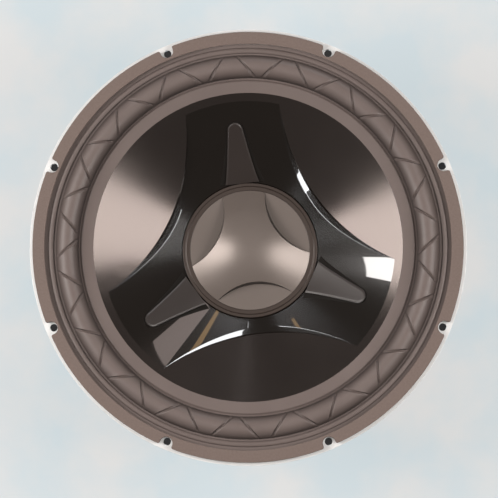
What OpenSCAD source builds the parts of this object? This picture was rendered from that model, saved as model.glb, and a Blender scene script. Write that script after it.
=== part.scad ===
// Twelve-inch car subwoofer drive unit, lying on its magnet with the cone facing up.
// The speaker's axis is Z and the bottom of the magnet boot is at Z = 0. All sizes are in millimetres.

/* [Flange] */
// Outer radius of the basket's front flange
rim_r = 156; // [155:0.5:160]
// Height of the flange's top face above the bottom of the boot
flange_z = 142; // [140:1:146]
// Thickness of the flange
flange_t = 3; // [2.5:0.5:3.5]
// Radius of the mounting bolt circle
bolt_circle_r = 150; // [149.5:0.25:150.5]
// Radius of each mounting hole
bolt_hole_r = 2.75; // [2.25:0.25:3]
// Number of mounting holes
bolt_count = 8; // [4:1:12]
// Radius of the basket body that drops into the baffle cut-out
cutout_r = 138.5; // [138:0.25:139.5]

/* [Gasket] */
// Outer radius of the front gasket
gasket_r = 153.7; // [153:0.1:155]
// Inner radius of the front gasket
gasket_inner_r = 145; // [144.5:0.25:146]
// Thickness of the front gasket
gasket_t = 4; // [3:0.5:6]
// Radius of the scallop round each mounting hole
scallop_r = 4.7; // [4:0.1:5.5]

/* [Surround] */
// Radius of the middle of the rubber half roll
roll_mid_r = 128.75; // [128.5:0.25:129]
// Radius of the half roll's own cross section
roll_r = 8.75; // [8.5:0.25:9]
// Thickness of the rubber
rubber_t = 1.2; // [1:0.1:1.4]

/* [Cone] */
// Outer radius of the cone's flat lip
lip_r = 119.5; // [119:0.25:120]
// Radius at which the cone's slope starts
slope_r = 110.5; // [110:0.25:111]
// Radius of the three-armed inlay
arm_r = 105; // [104:0.5:106]
// Slope of the satin panels, in degrees from level
panel_slope = 28; // [26:1:30]
// Slope of the three-armed valley, in degrees from level
valley_slope = 32.4; // [31:0.2:34]
// Vertical thickness of the cone wall
cone_t = 2.1; // [1.8:0.1:2.4]
// Radius of the arc that borders each lens panel
panel_arc_r = 146; // [144:1:148]
// Distance from the speaker's axis to that arc's centre
panel_arc_at = 207.5; // [206:0.5:209]
// Angle of the first of the three arms
arm_angle = 96.5; // [0:0.5:119]
// Distance from the axis to the tip of each finger
finger_tip_r = 88.8; // [84:0.2:92]

/* [Dust cap] */
// Radius of the domed dust cap
cap_r = 43.2; // [42:0.2:44]
// Outer radius of the dust cap's trim ring
cap_ring_r = 48.8; // [48:0.2:50]
// Radius of the dome's sphere
dome_r = 76; // [70:1:84]
// Radius of the arc that borders each flat land
land_arc_r = 47; // [45:0.5:49]
// Distance from the axis to that arc's centre
land_arc_at = 72; // [71:0.5:74]

/* [Motor] */
// Radius of the ferrite magnets
magnet_r = 78; // [77:0.5:78]
// Thickness of each magnet
magnet_t = 18; // [16:1:18]
// Radius of the steel plates
plate_r = 75; // [74:0.5:76]
// Radius of the pole piece
pole_r = 30; // [29.8:0.1:30.2]
// Radius of the vent through the pole piece
vent_r = 12; // [10:0.5:13]
// Radius of the hole in the top plate
gap_r = 33.4; // [33.2:0.1:33.8]
// Outer radius of the rubber boot
boot_r = 82; // [81.5:0.5:84]

/* [Terminals] */
// Distance of each push button from the middle of the block
button_x = 10; // [9.5:0.25:10.5]
// Width of each push button
button_w = 8; // [7:0.5:8]
// How far a button is pushed in
button_travel = 2.5; // [2:0.5:3]
// Radius of the wire ports
port_r = 1.9; // [1.5:0.1:2]

/* [Hidden] */
$fn = 144;
far = 400;

// Motor stack, from the bottom up
boot_floor = 3;
yoke_t = 8;
yoke_top = boot_floor + yoke_t;
rear_top = yoke_top + magnet_t;
front_top = rear_top + magnet_t;
plate_t = 10;
plate_top = front_top + plate_t;
magnet_hole_r = 38;
boot_gap = 0.3;
boot_top = plate_top - 5;
boot_hole_r = 18;
screen_r = 14;
screen_t = 1;
screen_gap = 0.2;
screw_circle_r = 66;
screw_count = 6;
screw_r = 2.4;
screw_head_r = 4.2;
screw_head_h = 4;
screw_socket_r = 2.2;

// Basket
base_t = 3.5;
base_top = plate_top + base_t;
base_inner_r = 42;
wall_t = 3;
shelf_z = 80;
shelf_t = 3;
shelf_inner_r = 78;
shelf_outer_r = 92;
skirt_h = 8;
skirt_bottom = flange_z - flange_t - skirt_h;
spoke_w = 18;
rib_t = 4;
spoke_count = 6;
window_bottom = shelf_z + 4;
pad_half = 19;
pad_y = 95;

// Cone heights: lip_z is the cone's own top face, where the surround is glued
lip_z = flange_z - 1;
arm_z = lip_z - (slope_r - arm_r) * tan(panel_slope);
inlay_t = 1;
finger_t = 1;
neck_r = 31.3;
cap_z = 105;
cap_t = 1.2;
land_z = cap_z - 0.4;
dome_bottom = cap_z - cap_t - 0.6;

// Voice coil
former_r = 30.6;
former_t = 0.5;
former_bottom = plate_top - 21;
former_top = 96;
coil_t = 1.6;
coil_h = 26;

// Terminal block, on the spoke that terminal_turn brings it to
terminal_turn = 180;
block_half = 18;
block_z0 = 59;
block_z1 = 79;
block_d = 16;
block_front = pad_y + block_d;
pocket_half = 5.2;
pocket_back = pad_y + 2;
front_wall = 2.5;
button_z = (block_z0 + block_z1) / 2;
button_gap = 0.3;
button_out = 6;
button_in = 7;
port_y = block_front - 6;
tab_x = 13;
tab_w = 4;
tab_t = 0.8;
tab_y = pad_y + 1.8;
tab_top = 88;
strip_z = block_z1 - 3;

// Tinsel leads: from each contact tab, in through the window and up to an eyelet under the cone
lead_r = 0.9;
eyelet_y = 66;
lead_route = [[-96.7, 86.8], [-93.5, 88], [-89, 89.8], [-85, 90], [-81, 89], [-77, 88.6], [-73, 90],
    [-69.8, 93], [-67.8, 97], [-66.6, 101], [-66, 105], [-66, 107.2]];

// Height of the satin panels' surface and of the valley's surface at radius r
function panel_z(r) = arm_z - (arm_r - r) * tan(panel_slope);
function valley_z(r) = arm_z - (arm_r - r) * tan(valley_slope);

module around(count, start = 0) {
    for (i = [0:count - 1]) rotate(start + i * 360 / count) children();
}

module ring(r_out, r_in, z0, z1) {
    translate([0, 0, z0]) difference() {
        cylinder(r = r_out, h = z1 - z0);
        translate([0, 0, -1]) cylinder(r = r_in, h = z1 - z0 + 2);
    }
}

// Upright prism inside the arc that borders each of the three lens panels or lands
module lens_prisms(arc_r, arc_at) {
    around(3, arm_angle - 60) translate([arc_at, 0, 0]) cylinder(r = arc_r, h = far);
}

module mounting_holes(r) {
    around(bolt_count, 180 / bolt_count) translate([bolt_circle_r, 0, flange_z - 20]) cylinder(r = r, h = 40);
}

// The gasket and the surround's outer flange open to the rim round every mounting hole
module scallops() {
    around(bolt_count, 180 / bolt_count) translate([bolt_circle_r + 0.3, 0, flange_z - 20]) {
        cylinder(r = scallop_r, h = 40);
        translate([0, -scallop_r + 0.4, 0]) cube([20, 2 * scallop_r - 0.8, 40]);
    }
}

module basket_wall() {
    rotate_extrude() {
        // Base ring on the top plate, and the lower wall up to the spider shelf
        translate([base_inner_r, plate_top]) square([plate_r + 1 - base_inner_r, base_t]);
        polygon([[plate_r - 2, plate_top + 1], [plate_r + 1, plate_top + 1],
            [shelf_outer_r - 2.5, shelf_z - shelf_t + 1], [shelf_outer_r - 6, shelf_z - shelf_t + 1]]);
        translate([shelf_inner_r, shelf_z - shelf_t]) square([shelf_outer_r - shelf_inner_r, shelf_t]);
        // Upper wall, which the windows cut into spokes
        polygon([[shelf_outer_r - 3.5, shelf_z - shelf_t + 0.5],
            [shelf_outer_r - 0.5, shelf_z - shelf_t + 0.5],
            [shelf_outer_r + 1.5, shelf_z], [cutout_r, skirt_bottom], [cutout_r, flange_z - flange_t],
            [cutout_r - wall_t, flange_z - flange_t], [cutout_r - wall_t, skirt_bottom + 1.5],
            [shelf_outer_r - 2, shelf_z + 1]]);
        translate([cutout_r - wall_t, flange_z - flange_t]) square([rim_r - cutout_r + wall_t, flange_t]);
    }
}

module basket() color("silver") difference() {
    union() {
        basket_wall();
        // Rib down the outside of each spoke
        difference() {
            around(spoke_count, 30) rotate([90, 0, 0]) translate([0, 0, -rib_t / 2]) linear_extrude(rib_t)
                polygon([[shelf_outer_r - 2, shelf_z - 1.5], [shelf_outer_r + 4, shelf_z - 1.5],
                    [shelf_outer_r + 8, shelf_z + 2], [cutout_r - 0.5, skirt_bottom - 6],
                    [cutout_r - 0.5, skirt_bottom + 1], [cutout_r - 2.5, skirt_bottom + 1]]);
            cylinder(r = shelf_inner_r, h = far);
        }
        // Flat pad that carries the terminal block
        rotate(terminal_turn) difference() {
            translate([-pad_half, -pad_y, block_z0 - 1]) cube([2 * pad_half, 20, shelf_z - block_z0 + 1]);
            translate([0, 0, plate_top])
                cylinder(r1 = plate_r - 1, r2 = shelf_outer_r - 4.5, h = shelf_z - plate_top);
        }
    }
    // Windows between the spokes
    difference() {
        ring(cutout_r + 1, shelf_inner_r, window_bottom, skirt_bottom - 2);
        around(spoke_count, 30) translate([0, -spoke_w / 2, 0]) cube([far, spoke_w, far]);
    }
    // Vent slots under the spider
    difference() {
        ring(shelf_outer_r + 10, plate_r - 6, base_top + 2, shelf_z - shelf_t - 3);
        around(spoke_count, 30) translate([0, -29, 0]) cube([far, 58, far]);
    }
    mounting_holes(bolt_hole_r);
    around(screw_count) translate([screw_circle_r, 0, plate_top - 1])
        cylinder(r = screw_r + 0.3, h = base_t + 2);
    rotate(terminal_turn) terminal_screw_holes(1.3);
}

module front_gasket() color("dimgray") difference() {
    ring(gasket_r, gasket_inner_r, flange_z + rubber_t, flange_z + rubber_t + gasket_t);
    scallops();
}

module surround() color("dimgray") difference() {
    rotate_extrude() {
        // Outer flange with its bead, the half roll, and the inner flange on the cone's lip
        translate([roll_mid_r + roll_r - rubber_t, flange_z])
            square([gasket_r - 1.7 - roll_mid_r - roll_r + rubber_t, rubber_t]);
        translate([140, flange_z + rubber_t]) intersection() {
            circle(r = 1.6);
            translate([-2, 0]) square([4, 2]);
        }
        translate([roll_mid_r, lip_z + rubber_t]) difference() {
            circle(r = roll_r);
            circle(r = roll_r - rubber_t);
            translate([-20, -40]) square([40, 40]);
        }
        translate([slope_r, lip_z]) square([roll_mid_r - roll_r + rubber_t - slope_r, rubber_t]);
    }
    scallops();
}

module cone() color([0.2, 0.19, 0.18]) difference() {
    step_r = cap_ring_r + 1;
    pocket_r = arm_r - 1.5;
    under = inlay_t + cone_t;
    // Lip, satin band and panels on top, and the valley's back below
    rotate_extrude() polygon([[lip_r, lip_z], [slope_r, lip_z], [step_r, panel_z(step_r)],
        [step_r, valley_z(step_r) - inlay_t], [neck_r, valley_z(neck_r) - inlay_t],
        [neck_r, valley_z(neck_r) - under], [arm_r, arm_z - under], [slope_r + 0.5, lip_z - cone_t],
        [lip_r, lip_z - cone_t]]);
    // Three-armed recess for the inlay
    difference() {
        rotate_extrude() polygon([[arm_r, arm_z - inlay_t], [step_r - 2, valley_z(step_r - 2) - inlay_t],
            [step_r - 2, arm_z + 5], [arm_r, arm_z + 5]]);
        lens_prisms(panel_arc_r, panel_arc_at);
    }
    // Hollow behind each raised panel
    intersection() {
        rotate_extrude() polygon([[step_r - 2, panel_z(step_r - 2) - cone_t],
            [pocket_r, panel_z(pocket_r) - cone_t], [pocket_r, 0], [step_r - 2, 0]]);
        lens_prisms(panel_arc_r - cone_t, panel_arc_at);
    }
}

module tri_arm_inlay() color([0.06, 0.06, 0.06]) difference() {
    rotate_extrude() polygon([[arm_r, arm_z], [cap_ring_r + 0.1, valley_z(cap_ring_r + 0.1)],
        [cap_ring_r + 0.1, valley_z(cap_ring_r + 0.1) - inlay_t], [arm_r, arm_z - inlay_t]]);
    lens_prisms(panel_arc_r, panel_arc_at);
}

module arm_fingers() color([0.22, 0.2, 0.2]) intersection() {
    foot_r = cap_ring_r + 0.1;
    rotate_extrude() polygon([[arm_r, arm_z + finger_t], [foot_r, valley_z(foot_r) + finger_t],
        [foot_r, valley_z(foot_r)], [arm_r, arm_z]]);
    around(3, arm_angle) linear_extrude(far) {
        polygon([[cap_ring_r - 4, -13], [finger_tip_r - 6, -6], [finger_tip_r - 6, 6], [cap_ring_r - 4, 13]]);
        translate([finger_tip_r - 6, 0]) circle(r = 6);
    }
}

module dust_cap_ring() color([0.35, 0.31, 0.29]) rotate_extrude()
    polygon([[cap_r - 2, valley_z(cap_r - 2) - inlay_t], [cap_ring_r, valley_z(cap_ring_r) - inlay_t],
        [cap_ring_r, cap_z - 0.8], [cap_ring_r - 2.2, cap_z - 0.8], [cap_ring_r - 2.6, cap_z],
        [cap_r + 0.1, cap_z], [cap_r + 0.1, dome_bottom], [cap_r - 2, dome_bottom]]);

// Height of the dome's sphere centre, so that the sphere meets the ring's top at the cap's edge
dome_z = cap_z - sqrt(dome_r * dome_r - cap_r * cap_r);

module dome_solid(r) {
    intersection() {
        translate([0, 0, dome_z]) sphere(r = r);
        translate([0, 0, dome_bottom]) cylinder(r = cap_r, h = 40);
    }
}

module dust_cap() color([0.4, 0.38, 0.36]) {
    // Dome with its three lands cut away
    difference() {
        dome_solid(dome_r);
        dome_solid_inside();
        lens_prisms(land_arc_r, land_arc_at);
    }
    // Flat lands just under the level of the rim
    intersection() {
        lens_prisms(land_arc_r, land_arc_at);
        ring(cap_r, 1, land_z - cap_t, land_z);
    }
    // Step walls behind the lands
    difference() {
        intersection() {
            dome_solid(dome_r);
            lens_prisms(land_arc_r + cap_t, land_arc_at);
        }
        lens_prisms(land_arc_r, land_arc_at);
    }
}

module dome_solid_inside() {
    translate([0, 0, dome_z]) sphere(r = dome_r - cap_t);
}

module voice_coil_former() color("tan") ring(former_r + former_t, former_r, former_bottom, former_top);

module voice_coil_winding() color([0.72, 0.42, 0.2]) {
    mid = plate_top - plate_t / 2;
    ring(former_r + former_t + coil_t, former_r + former_t, mid - coil_h / 2, mid + coil_h / 2);
}

// Bead of adhesive in the angle between the former and the cone's neck
module neck_glue_bead() color([0.16, 0.14, 0.12]) rotate_extrude()
    polygon([[former_r + former_t, valley_z(neck_r) - inlay_t], [neck_r, valley_z(neck_r) - inlay_t],
        [neck_r + 2.5, valley_z(neck_r + 2.5) - inlay_t], [former_r + former_t, valley_z(neck_r) + 2.5]]);

module spider() color([0.75, 0.6, 0.25]) rotate_extrude() {
    bend_r = 3;
    cloth_t = 0.8;
    bends = 7;
    first = 38;
    hub_r = former_r + former_t + 0.2;
    // Hub collar, the flat round it, the corrugations and the flange on the shelf
    translate([hub_r, shelf_z - 2]) square([cloth_t, 6]);
    translate([hub_r, shelf_z]) square([first - bend_r + cloth_t / 2 - hub_r, cloth_t]);
    for (i = [0:bends - 1]) translate([first + i * 2 * bend_r, shelf_z + cloth_t / 2])
        mirror([0, i % 2]) difference() {
            circle(r = bend_r + cloth_t / 2, $fn = 48);
            circle(r = bend_r - cloth_t / 2, $fn = 48);
            translate([-10, -20]) square([20, 20]);
        }
    last = first + (2 * bends - 1) * bend_r;
    translate([last - cloth_t / 2, shelf_z]) square([shelf_outer_r - 4 - last + cloth_t / 2, cloth_t]);
}

module top_plate() color("gray") difference() {
    ring(plate_r, gap_r, front_top, plate_top);
    around(screw_count) translate([screw_circle_r, 0, front_top + 1.5])
        cylinder(r = screw_r + 0.05, h = plate_t);
}

module magnet_front() color([0.2, 0.2, 0.21]) ring(magnet_r, magnet_hole_r, rear_top, front_top);

module magnet_rear() color([0.2, 0.2, 0.21]) ring(magnet_r, magnet_hole_r, yoke_top, rear_top);

module t_yoke() color("gray") difference() {
    union() {
        translate([0, 0, boot_floor]) cylinder(r = plate_r, h = yoke_t);
        translate([0, 0, boot_floor]) cylinder(r = pole_r, h = plate_top - boot_floor);
    }
    cylinder(r = vent_r, h = far);
    cylinder(r = screen_r + screen_gap, h = boot_floor + screen_t + 0.5);
}

module shorting_ring() color([0.8, 0.5, 0.3]) ring(magnet_hole_r - 0.5, pole_r, yoke_top, yoke_top + 8);

module magnet_boot() color([0.12, 0.12, 0.12]) difference() {
    cylinder(r = boot_r, h = boot_top);
    translate([0, 0, boot_floor]) cylinder(r = magnet_r + boot_gap, h = far);
    translate([0, 0, -1]) cylinder(r = boot_hole_r, h = 10);
    // Grooves round the side
    for (z = [12, 26, 40]) ring(boot_r + 1, boot_r - 1.2, z, z + 3);
}

module vent_screen() color([0.15, 0.15, 0.15]) difference() {
    translate([0, 0, boot_floor]) cylinder(r = screen_r, h = screen_t);
    hole_r = 1.45;
    pitch = 3.4;
    for (row = [1:3]) around(6 * row) translate([pitch * row, 0, 0]) cylinder(r = hole_r, h = 10, $fn = 6);
    cylinder(r = hole_r, h = 10, $fn = 6);
}

module plate_screws() color("dimgray") around(screw_count) translate([screw_circle_r, 0, 0]) difference() {
    union() {
        translate([0, 0, front_top + 2]) cylinder(r = screw_r, h = base_top - front_top);
        translate([0, 0, base_top]) cylinder(r = screw_head_r, h = screw_head_h);
    }
    translate([0, 0, base_top + screw_head_h - 2.5]) cylinder(r = screw_socket_r, h = 5, $fn = 6);
}

screw_heights = [block_z0 + 4, block_z1 - 4];

module terminal_screw_holes(r) {
    for (z = screw_heights) translate([0, -pad_y + 10, z]) rotate([90, 0, 0]) cylinder(r = r, h = 12);
}

module terminal_block() color([0.1, 0.1, 0.1]) rotate(terminal_turn) difference() {
    translate([-block_half, -block_front, block_z0]) cube([2 * block_half, block_d, block_z1 - block_z0]);
    for (side = [-1, 1]) translate([side * button_x, 0, button_z]) {
        // Pocket, the button's window in the front wall, and the wire port through the end wall
        translate([-pocket_half, -block_front + front_wall, -7])
            cube([2 * pocket_half, block_front - front_wall - pocket_back, 14]);
        opening = button_w + 2 * button_gap;
        translate([-opening / 2, -block_front - 1, -opening / 2]) cube([opening, front_wall + 2, opening]);
        translate([0, -port_y, 0]) rotate([0, side * 90, 0]) cylinder(r = port_r, h = 20);
    }
    // Seats for the two screws
    for (z = screw_heights) translate([0, 0, z]) rotate([90, 0, 0]) {
        cylinder(r = 1.6, h = block_front + 1);
        translate([0, 0, block_front - 2]) cylinder(r = 3.2, h = 5);
    }
    // Slots for the contact tabs
    slot_gap = 0.1;
    for (side = [-1, 1])
        translate([side * tab_x - tab_w / 2 - slot_gap, -tab_y - tab_t - slot_gap, strip_z - 1])
        cube([tab_w + 2 * slot_gap, tab_t + 2 * slot_gap, 20]);
}

module terminal_screws() color("silver") rotate(terminal_turn) for (z = screw_heights) translate([0, 0, z])
    rotate([90, 0, 0]) difference() {
        union() {
            translate([0, 0, pad_y - 8]) cylinder(r = 1.25, h = block_front - 2 - pad_y + 8);
            translate([0, 0, block_front - 2]) cylinder(r = 3, h = 1.8);
        }
        for (turn = [0, 90]) rotate(turn) translate([-1.8, -0.4, block_front - 1.2]) cube([3.6, 0.8, 2]);
    }

// One bent strip a side: it lies in the roof of the pocket and stands up through it as a solder tab
module terminal_contacts() color([0.8, 0.68, 0.35]) rotate(terminal_turn) for (side = [-1, 1])
    translate([side * tab_x, 0, 0]) difference() {
        union() {
            translate([-tab_w / 2, -tab_y - tab_t, strip_z - tab_t])
                cube([tab_w, tab_t, tab_top - strip_z + tab_t]);
            translate([-tab_w / 2, -port_y - 2, strip_z - tab_t]) cube([tab_w, port_y + 2 - tab_y, tab_t]);
        }
        translate([0, -pad_y + 5, tab_top - 4]) rotate([90, 0, 0]) cylinder(r = 0.7, h = 10);
    }

module terminal_button(side, tint) color(tint) rotate(terminal_turn) translate([side * button_x, 0, button_z])
    difference() {
    union() {
        translate([-button_w / 2, -block_front - button_out, -button_w / 2])
            cube([button_w, button_out + button_in, button_w]);
        // Flange that keeps the button in its block
        translate([-button_w / 2, -block_front + front_wall + 0.2, -5.6]) cube([button_w, 2, 11.2]);
        // Raised ribs for the thumb
        for (z = [-2.4, 0, 2.4]) translate([-button_w / 2 + 1, -block_front - button_out - 0.6, z - 0.5])
            cube([button_w - 2, 1, 1]);
    }
    // Cross hole for the wire, in line with the port once the button is pushed in
    translate([-10, -port_y - button_travel, 0]) rotate([0, 90, 0]) cylinder(r = port_r, h = 20);
}

module terminal_button_positive() terminal_button(1, "firebrick");

module terminal_button_negative() terminal_button(-1, [0.08, 0.08, 0.08]);

// Round wire swept along a list of points, as one closed polyhedron. Each ring's first point lies across
// from the direction up, which the wire never runs along
module swept_wire(points, r, sides, up) {
    count = len(points);
    function direction(i) = let (d = points[min(i + 1, count - 1)] - points[max(i - 1, 0)]) d / norm(d);
    rings = [for (i = [0:count - 1])
        let (d = direction(i), c = cross(d, up), u = c / norm(c), v = cross(d, u))
        for (k = [0:sides - 1]) points[i] + r * (cos(k * 360 / sides) * u + sin(k * 360 / sides) * v)];
    walls = [for (i = [0:count - 2], k = [0:sides - 1])
        let (n = (k + 1) % sides, a = i * sides, b = a + sides)
        each [[a + k, a + n, b + n], [a + k, b + n, b + k]]];
    ends = [[for (k = [sides - 1:-1:0]) k], [for (k = [0:sides - 1]) (count - 1) * sides + k]];
    polyhedron(rings, concat(walls, ends));
}

// Compression spring on a line along Y, from its seat at the back of the pocket to the button
module button_spring(side) {
    turns = 4;
    steps = 10;
    wire_r = 0.3;
    coil_r = 2.6;
    back = pocket_back + wire_r + 0.1;
    front = block_front - button_in - wire_r - 0.1;
    swept_wire([for (i = [0:turns * steps]) let (a = i * 360 / steps) [side * button_x + coil_r * cos(a),
        -back - (front - back) * i / (turns * steps), button_z + coil_r * sin(a)]], wire_r, 6, [0, 1, 0]);
}

module terminal_spring_positive() color("silver") rotate(terminal_turn) button_spring(1);

module terminal_spring_negative() color("silver") rotate(terminal_turn) button_spring(-1);

module tinsel_lead(side) {
    swept_wire([for (p = lead_route) [side * tab_x, p[0], p[1]]], lead_r, 8, [1, 0, 0]);
}

module tinsel_lead_positive() color([0.75, 0.65, 0.5]) rotate(terminal_turn) tinsel_lead(1);

module tinsel_lead_negative() color([0.75, 0.65, 0.5]) rotate(terminal_turn) tinsel_lead(-1);

// Hollow eyelets bonded under the cone, where the leads end
module lead_eyelets() color([0.8, 0.68, 0.35]) difference() {
    under = valley_z(norm([tab_x, eyelet_y])) - inlay_t - cone_t;
    rotate(terminal_turn) for (side = [-1, 1]) translate([side * tab_x, -eyelet_y, under - 4]) difference() {
        cylinder(r = 2.2, h = 8);
        translate([0, 0, -1]) cylinder(r = 1.2, h = 3);
    }
    // Their tops follow the slope of the cone's back
    rotate_extrude() polygon([[neck_r, valley_z(neck_r) - inlay_t - cone_t],
        [arm_r, arm_z - inlay_t - cone_t], [neck_r, arm_z]]);
}

basket();
front_gasket();
surround();
cone();
tri_arm_inlay();
arm_fingers();
dust_cap_ring();
dust_cap();
voice_coil_former();
voice_coil_winding();
neck_glue_bead();
spider();
lead_eyelets();
tinsel_lead_positive();
tinsel_lead_negative();
top_plate();
magnet_front();
magnet_rear();
t_yoke();
shorting_ring();
magnet_boot();
vent_screen();
plate_screws();
terminal_block();
terminal_screws();
terminal_contacts();
terminal_button_positive();
terminal_button_negative();
terminal_spring_positive();
terminal_spring_negative();
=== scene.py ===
import math

import bmesh
import bpy
from mathutils import Matrix, Vector
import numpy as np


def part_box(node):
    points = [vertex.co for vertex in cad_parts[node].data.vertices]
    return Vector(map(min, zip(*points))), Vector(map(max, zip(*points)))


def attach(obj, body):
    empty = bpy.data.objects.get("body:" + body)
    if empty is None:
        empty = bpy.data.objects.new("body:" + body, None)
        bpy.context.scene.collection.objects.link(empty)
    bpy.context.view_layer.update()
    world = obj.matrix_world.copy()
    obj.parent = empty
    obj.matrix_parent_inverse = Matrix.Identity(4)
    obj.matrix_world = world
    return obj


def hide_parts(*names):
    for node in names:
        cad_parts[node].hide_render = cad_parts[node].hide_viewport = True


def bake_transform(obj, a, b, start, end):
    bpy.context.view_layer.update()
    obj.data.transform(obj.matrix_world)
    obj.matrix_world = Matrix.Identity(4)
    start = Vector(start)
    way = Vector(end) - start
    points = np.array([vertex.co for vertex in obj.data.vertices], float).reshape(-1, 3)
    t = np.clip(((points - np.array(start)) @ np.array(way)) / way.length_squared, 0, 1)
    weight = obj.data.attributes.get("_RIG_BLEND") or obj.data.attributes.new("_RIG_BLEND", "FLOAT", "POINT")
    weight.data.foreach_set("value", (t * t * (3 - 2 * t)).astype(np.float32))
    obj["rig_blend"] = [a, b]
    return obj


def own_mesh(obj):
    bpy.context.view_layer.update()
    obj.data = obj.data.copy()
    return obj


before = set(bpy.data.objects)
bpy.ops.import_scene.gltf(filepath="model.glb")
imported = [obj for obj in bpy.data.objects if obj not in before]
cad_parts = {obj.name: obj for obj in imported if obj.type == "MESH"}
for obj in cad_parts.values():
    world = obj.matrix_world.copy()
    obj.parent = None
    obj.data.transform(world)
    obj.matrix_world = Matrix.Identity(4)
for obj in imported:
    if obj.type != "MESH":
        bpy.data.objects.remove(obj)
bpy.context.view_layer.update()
MM = 0.001

# T-yoke: the back plate and vented pole of the motor, one steel forging turned on a lathe and zinc
# plated. The rear magnet is glued on its plate. Its turned face shows through the hole in the boot.


def principled(name, sockets):
    """A new material. Constants are set on the shader's own sockets."""
    material = bpy.data.materials.new(name)
    material.use_nodes = True
    tree = material.node_tree
    shader = tree.nodes["Principled BSDF"]
    for socket, value in sockets.items():
        shader.inputs[socket].default_value = value
    return material, tree, shader


def add_node(tree, kind, inputs, **settings):
    """A shader node. Each of its inputs takes another node's output or a constant."""
    made = tree.nodes.new("ShaderNode" + kind)
    for name, value in settings.items():
        setattr(made, name, value)
    for name, value in inputs.items():
        if isinstance(value, bpy.types.NodeSocket):
            tree.links.new(value, made.inputs[name])
        else:
            made.inputs[name].default_value = value
    return made


def object_point(tree):
    return tree.nodes.new("ShaderNodeTexCoord").outputs["Object"]


def noise(tree, point, scale, detail=3):
    return add_node(tree, "TexNoise", {"Vector": point, "Scale": scale, "Detail": detail}).outputs[0]


def paint(tree, shader, share, dark, light):
    """The base colour runs from dark to light with a share that goes from 0 to 1."""
    mixed = add_node(tree, "Mix", {0: share, 6: (*dark, 1), 7: (*light, 1)}, data_type="RGBA")
    tree.links.new(mixed.outputs[2], shader.inputs["Base Color"])


def vary_gloss(tree, shader, share, low, high):
    spread = add_node(tree, "MapRange", {"Value": share, "To Min": low, "To Max": high})
    tree.links.new(spread.outputs[0], shader.inputs["Roughness"])


def raise_grain(tree, shader, height, depth, strength=1.0):
    """The height, from 0 to 1, stands out of the surface by depth, in metres."""
    bump = add_node(tree, "Bump", {"Height": height, "Distance": depth, "Strength": strength})
    tree.links.new(bump.outputs[0], shader.inputs["Normal"])


def turned_steel(name, dark, light, roughness):
    """Lathe-turned metal: fine rings round the axis, over a slow drift in the plating."""
    material, tree, shader = principled(name, {"Metallic": 1.0})
    point = object_point(tree)
    drift = noise(tree, point, 45)
    rings = add_node(tree, "TexWave", {"Vector": point, "Scale": 420.0, "Distortion": 0.6},
                     wave_type="RINGS", rings_direction="Z").outputs["Fac"]
    paint(tree, shader, drift, dark, light)
    vary_gloss(tree, shader, drift, roughness - 0.08, roughness + 0.1)
    raise_grain(tree, shader, rings, 0.02 * MM, 0.5)
    return material


def round_edges(bm, width, segments=2, over=32):
    """Bevels every edge that turns by more than that angle, in degrees."""
    sharp = [e for e in bm.edges if e.is_manifold and e.calc_face_angle() > math.radians(over)]
    bmesh.ops.bevel(bm, geom=sharp, offset=width, offset_type="OFFSET", affect="EDGES",
                    segments=segments, profile=0.5, material=-1, clamp_overlap=True)


def make_piece(name, bm, material, replaced, body=None):
    """Turns the bmesh into a smooth-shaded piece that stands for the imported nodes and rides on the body."""
    mesh = bpy.data.meshes.new(name)
    bm.to_mesh(mesh)
    bm.free()
    mesh.shade_smooth()
    mesh.set_sharp_from_angle(angle=math.radians(38))
    mesh.materials.append(material)
    piece = bpy.data.objects.new(name, mesh)
    bpy.context.scene.collection.objects.link(piece)
    piece.modifiers.new("even_shading", "WEIGHTED_NORMAL").keep_sharp = True
    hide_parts(*replaced)
    if body:
        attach(piece, body)
    return piece


def packed_shape(node):
    """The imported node's own shape, merged into one skin."""
    bm = bmesh.new()
    bm.from_mesh(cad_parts[node].data)
    bmesh.ops.remove_doubles(bm, verts=bm.verts, dist=0.001 * MM)
    bmesh.ops.dissolve_limit(bm, angle_limit=math.radians(0.5), verts=bm.verts, edges=bm.edges)
    return bm


def rounded_copy(node, body, material, width):
    """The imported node's shape with its edges eased."""
    bm = packed_shape(node)
    round_edges(bm, width)
    return make_piece(node + "_finished", bm, material, [node], body)


def dress(node, material):
    """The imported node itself, in the material."""
    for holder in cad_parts[node].material_slots:
        holder.material = material


zinc_steel = turned_steel("zinc_steel", (0.40, 0.41, 0.42), (0.60, 0.60, 0.59), 0.34)
rounded_copy("t_yoke", "frame", zinc_steel, 0.6 * MM)

# Ferrite magnets: two sintered ceramic rings, ground flat on their faces and left raw at the edge.
# They are glued to each other and to the steel plates.
ferrite, tree, shader = principled("ferrite", {"Specular IOR Level": 0.35})
point = object_point(tree)
grains = add_node(tree, "TexVoronoi", {"Vector": point, "Scale": 900.0}).outputs["Distance"]
paint(tree, shader, noise(tree, point, 160, 6), (0.030, 0.030, 0.033), (0.060, 0.058, 0.060))
vary_gloss(tree, shader, noise(tree, point, 300), 0.55, 0.8)
raise_grain(tree, shader, grains, 0.05 * MM)
for ring in ("magnet_rear", "magnet_front"):
    rounded_copy(ring, "frame", ferrite, 0.8 * MM)

# Shorting ring: a bare copper collar pressed over the foot of the pole. It is out of sight.
bare_copper = turned_steel("bare_copper", (0.62, 0.27, 0.13), (0.80, 0.42, 0.24), 0.3)
dress("shorting_ring", bare_copper)

# Top plate: a turned steel ring on the front magnet, zinc plated, tapped for the basket's six screws.
rounded_copy("top_plate", "frame", zinc_steel, 0.5 * MM)

# Magnet boot: a moulded rubber cup stretched over the motor, with three grooves round its wall. Its
# skin is lightly textured by the mould, and dust dulls it in patches.


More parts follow.
